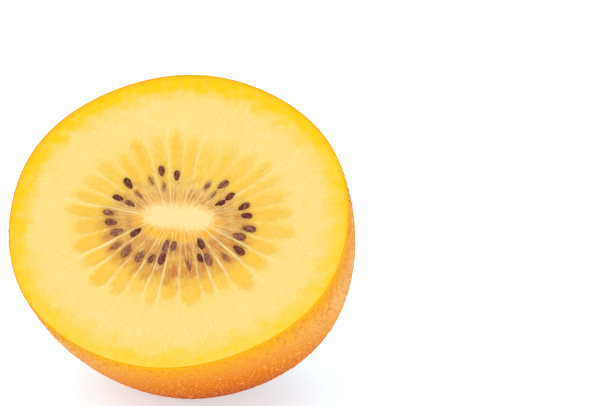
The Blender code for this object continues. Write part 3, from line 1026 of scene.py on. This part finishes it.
def flesh_finish():
    """Wet golden flesh: cream between deeper lobes, a painted yellow glow along the rim, brown
    haze round the seeds, painted glints and painted shadows round the seeds.
    """
    finish = Finish("wet_golden_flesh")
    fit, mix, share, times = finish.fit, finish.mix, finish.share, finish.times
    ray = finish.vector("ray")
    place = finish.place()
    streak = finish.noise(ray, scale=(30.0, 30.0, 7.0), detail=4.0, roughness=0.65)
    fine = finish.noise(ray, scale=(65.0, 65.0, 24.0), detail=3.0, roughness=0.65)
    cloud = finish.noise(place, scale=260.0, detail=4.0, roughness=0.6)
    blotch = finish.noise(place, scale=640.0, detail=4.0, roughness=0.65)
    cells = finish.noise(place, scale=2000.0, detail=3.0, roughness=0.7)
    from_middle = share("from_middle")

    lobe = times(share("lobe"), fit(streak, (0.25, 0.75), (0.75, 1.15)))
    lobe = times(lobe, fit(cloud, (0.3, 0.7), (0.8, 1.15)))
    jelly = times(share("haze"), fit(blotch, (0.35, 0.65), (0.72, 1.08)))
    jelly = times(jelly, fit(fine, (0.35, 0.65), (1.12, 0.76)))
    # Painted highlights: pale glints of wet sparkle in the haze, partly pale fibre strands.
    glints = times(share("haze"), fit(fine, (0.62, 0.74), (0.0, 0.6)))
    # Seeds under the surface and the painted shadows round the bare seeds.
    buried_and_shadow = times(share("buried_and_shadow"), fit(fine, (0.45, 0.65), (1.15, 0.5)))
    # Painted glow along the rim, strongest on the far upper side.
    rim_glow = times(share("rim_glow"), fit(blotch, (0.3, 0.7), (0.8, 1.2)))
    rim_glow = times(rim_glow, fit(fine, (0.3, 0.7), (0.92, 1.1)))
    pale = times(fit(fine, (0.48, 0.7), (0.0, 0.36)), fit(rim_glow, (0.2, 1.0), (1.0, 0.1)))
    pale = times(pale, fit(share("lobe"), (0.0, 1.0), (1.0, 0.5)))
    deep = times(fit(blotch, (0.5, 0.75), (0.0, 0.3)), from_middle)

    colour = finish.tones(from_middle, FLESH_TONES)
    layers = ((lobe, LOBE_GOLD), (share("fringe"), FRINGE_GOLD), (jelly, HAZE_BROWN),
              (share("core"), CORE_CREAM), (share("wall"), WALL_CREAM), (glints, GLINT_CREAM),
              (buried_and_shadow, BURIED_AND_SHADOW_PURPLE), (share("fleck"), FLECK_ORANGE), (rim_glow, RIM_GLOW_YELLOW),
              (share("golden_edge_glow"), GOLDEN_EDGE_GLOW_YELLOW), (pale, STREAK_CREAM), (deep, DEEP_YELLOW))
    for amount, layer in layers:
        colour = mix(amount, colour, layer)

    normal = finish.bump(times(fine, from_middle), 0.00008)
    normal = finish.bump(times(streak, from_middle), 0.00012, normal)
    normal = finish.bump(times(cells, from_middle), 0.00003, normal)
    return finish.finished({"Base Color": colour, "Roughness": 0.4, "Normal": normal,
                            "Specular IOR Level": 0.08, "Subsurface Weight": 0.15,
                            "Subsurface Radius": (1.0, 0.7, 0.4), "Subsurface Scale": 0.0003})


def skin_finish():
    """Satin skin: orange, painted paler tan as sheen near the cut edge, with a painted glow next
    to the cut edge, painted shade underneath, and dark at the stem.

    Heights are in metres, and places along the side run from the cut edge (0) to its end (1).
    """
    finish = Finish("orange_skin")
    fit = finish.fit
    place = finish.place()
    cloud = finish.noise(place, scale=130.0, detail=3.0)
    mottle = finish.noise(place, scale=1500.0, detail=3.0, roughness=0.7)
    grain = finish.noise(place, scale=2500.0, detail=2.0, roughness=0.6)
    height = finish.shadow_height(place)
    edge = finish.share("from_edge")

    # Painted sheen: a pale tan base, in two tones that vary at random, which the layers below turn
    # orange away from the cut edge.
    colour = finish.mix(fit(cloud, (0.35, 0.7)), SKIN_SHEEN_TAN, SKIN_DEEPER_SHEEN_TAN)
    # Painted light and shade among these layers: the deeper orange, underside and floor layers are
    # painted shade low on the fruit, and the two cut-edge layers are a painted glow of light
    # through the skin.
    layers = ((fit(height, (0.006, 0.018), (1.0, 0.0)), SKIN_LOW_SHADE_ORANGE),
              (fit(edge, (0.2, 0.46), (0.0, 0.9)), SKIN_BELOW_EDGE),
              (fit(edge, (0.0, 0.1), (0.95, 0.0)), SKIN_EDGE_GLOW),
              (fit(edge, (0.86, 1.0), (0.0, 0.8)), SKIN_AT_STEM),
              (fit(height, (0.0, 0.014), (1.0, 0.0)), SKIN_UNDERSIDE_SHADE),
              (fit(height, (-0.001, 0.005), (1.0, 0.0)), SKIN_FLOOR_SHADE),
              (fit(mottle, (0.5, 0.72), (0.0, 0.4)), SKIN_MOTTLE),
              (fit(grain, (0.54, 0.66), (0.0, 0.45)), SKIN_GRAIN),
              (fit(edge, (0.0, 0.004), (1.0, 0.0)), SKIN_CUT_EDGE_GLOW))
    for amount, layer in layers:
        colour = finish.mix(amount, colour, layer)
    normal = finish.bump(grain, 0.00005)
    return finish.finished({"Base Color": colour, "Roughness": 0.45, "Normal": normal,
                            "Specular IOR Level": 0.01, "Subsurface Weight": 0.2,
                            "Subsurface Radius": (1.0, 0.45, 0.1), "Subsurface Scale": 0.0006})


def dot_finish():
    """The dots: dry tan specks, some browner, with painted shade underneath the fruit."""
    finish = Finish("tan_dots")
    place = finish.place()
    grain = finish.noise(place, scale=3000.0, detail=2.0)
    height = finish.shadow_height(place)
    colour = finish.mix(finish.share("tone"), DOT_TAN, DOT_DEEPER_TAN)
    colour = finish.mix(finish.share("near_edge"), colour, DOT_NEAR_EDGE)
    # Painted shade: the dots darken low on the fruit.
    colour = finish.mix(finish.fit(height, (0.0, 0.01), (0.7, 0.0)), colour, DOT_UNDERSIDE_SHADE)
    colour = finish.mix(finish.fit(grain, (0.4, 0.7), (0.0, 0.4)), colour, DOT_GRAIN)
    return finish.finished({"Base Color": colour, "Roughness": 0.6, "Specular IOR Level": 0.03})


def seed_finish():
    """Wet seed coats: dark purple-brown, with pale mottling that is partly painted wet highlights,
    some veiled by a film and threads of jelly.
    """
    finish = Finish("dark_seed_coat")
    fit = finish.fit
    own = finish.vector("own")
    mottle = finish.noise(own, scale=7.0, detail=3.0, roughness=0.7)
    threads = finish.noise(own, scale=(2.5, 16.0, 16.0), detail=2.0)
    film = finish.share("film")
    threads = finish.times(fit(threads, (0.52, 0.62)), fit(film, (0.4, 1.0), (0.1, 0.8)))
    # Pale mottling, partly the coat's own and partly painted wet highlights.
    colour = finish.mix(fit(mottle, (0.48, 0.66)), SEED_DARK, SEED_MOTTLE_AND_GLINT)
    colour = finish.mix(fit(film, (0.4, 1.0), (0.0, 0.5)), colour, SEED_FILM)
    colour = finish.mix(threads, colour, SEED_THREADS)
    side = fit(finish.share("crest"), (-0.2, 0.7), (0.7, 0.0))
    colour = finish.mix(side, colour, SEED_SIDE)
    return finish.finished({"Base Color": colour, "Roughness": 0.4, "Specular IOR Level": 0.16,
                            "Coat Weight": 0.06, "Coat Roughness": 0.15,
                            "Normal": finish.bump(mottle, 0.00005)})


def stem_finish():
    """Dry stalk: brown, darker between its fibres."""
    finish = Finish("dry_stalk")
    fibre = finish.noise(finish.place(), scale=(2600.0, 900.0, 900.0), detail=4.0, roughness=0.6)
    colour = finish.mix(finish.fit(fibre, (0.35, 0.7)), STALK_DARK, STALK_PALE)
    return finish.finished({"Base Color": colour, "Roughness": 0.85,
                            "Normal": finish.bump(fibre, 0.0001)})


def floor_finish():
    """A plain pale floor."""
    finish = Finish("pale_floor")
    grain = finish.noise(finish.place(), scale=60.0, detail=2.0)
    colour = finish.mix(finish.fit(grain, (0.2, 0.8)), FLOOR_COLOUR, FLOOR_GRAIN)
    return finish.finished({"Base Color": colour, "Roughness": 0.9, "Emission Color": WHITE,
                            "Emission Strength": FLOOR_GLOW})


# The studio


def make_floor():
    """The floor that the half rests on."""
    mesh = bpy.data.meshes.new("floor")
    side = FLOOR_HALF_SIDE
    mesh.from_pydata([(-side, -side, 0), (side, -side, 0), (side, side, 0), (-side, side, 0)], [],
                     [(0, 1, 2, 3)])
    mesh.materials.append(floor_finish())
    floor = bpy.data.objects.new("floor", mesh)
    bpy.context.scene.collection.objects.link(floor)


def make_light(name, place, size, power):
    """A soft square light that looks at the fruit."""
    lamp = bpy.data.lights.new(name, "AREA")
    lamp.size = size
    lamp.energy = power
    light = bpy.data.objects.new(name, lamp)
    bpy.context.scene.collection.objects.link(light)
    light.location = place
    ahead = LIGHTS_LOOK_AT - light.location
    light.rotation_euler = ahead.to_track_quat("-Z", "Y").to_euler()


def make_studio():
    """Soft light from above and both sides, and a pale surround."""
    world = bpy.data.worlds.new("surround")
    bpy.context.scene.world = world
    world.use_nodes = True
    background = world.node_tree.nodes["Background"]
    background.inputs["Color"].default_value = WHITE
    background.inputs["Strength"].default_value = SURROUND_STRENGTH
    make_light("key", place=(-0.28, -0.42, 0.62), size=0.5, power=1.0)
    make_light("top", place=(0.2, 0.25, 0.7), size=0.6, power=0.9)
    make_light("fill", place=(0.42, -0.6, 0.14), size=0.5, power=1.4)
    bpy.context.scene.view_settings.view_transform = "Standard"


def make_camera():
    """The camera at the photograph's angle, turned so that the face's middle falls in its place.

    It stands on the line from the face's middle at the view's azimuth and elevation. It is then
    turned by the angle between its axis and that middle's place in the picture.
    """
    lens = bpy.data.cameras.new("camera")
    lens.lens = LENS_MM
    lens.sensor_width = SENSOR_MM
    lens.clip_start = NEAREST_SEEN
    lens.clip_end = FARTHEST_SEEN
    camera = bpy.data.objects.new("camera", lens)
    bpy.context.scene.collection.objects.link(camera)
    bpy.context.scene.camera = camera
    back = Vector((math.sin(VIEW_AZIMUTH) * math.cos(VIEW_ELEVATION),
                   -math.cos(VIEW_AZIMUTH) * math.cos(VIEW_ELEVATION), math.sin(VIEW_ELEVATION)))
    camera.location = Vector(MIDDLE) + VIEW_DISTANCE * back
    focal_px = LENS_MM / SENSOR_MM * IMAGE_WIDTH_PX
    aside = Vector((FACE_MIDDLE_PX[0] - IMAGE_WIDTH_PX / 2,
                    IMAGE_HEIGHT_PX / 2 - FACE_MIDDLE_PX[1], -focal_px))
    turned = aside.rotation_difference(Vector((0.0, 0.0, -1.0)))
    camera.rotation_mode = "QUATERNION"
    camera.rotation_quaternion = (-back).to_track_quat("-Z", "Y") @ turned


make_studio()
make_camera()
make_floor()
flesh = make_flesh(flesh_finish())
seeds = make_seeds(seed_finish())
skin = make_skin(skin_finish())
dots = make_dots(dot_finish())
stub = make_stub(stem_finish())
for piece in (flesh, seeds, skin, dots):
    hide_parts("kiwi_half")
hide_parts("stem_button")
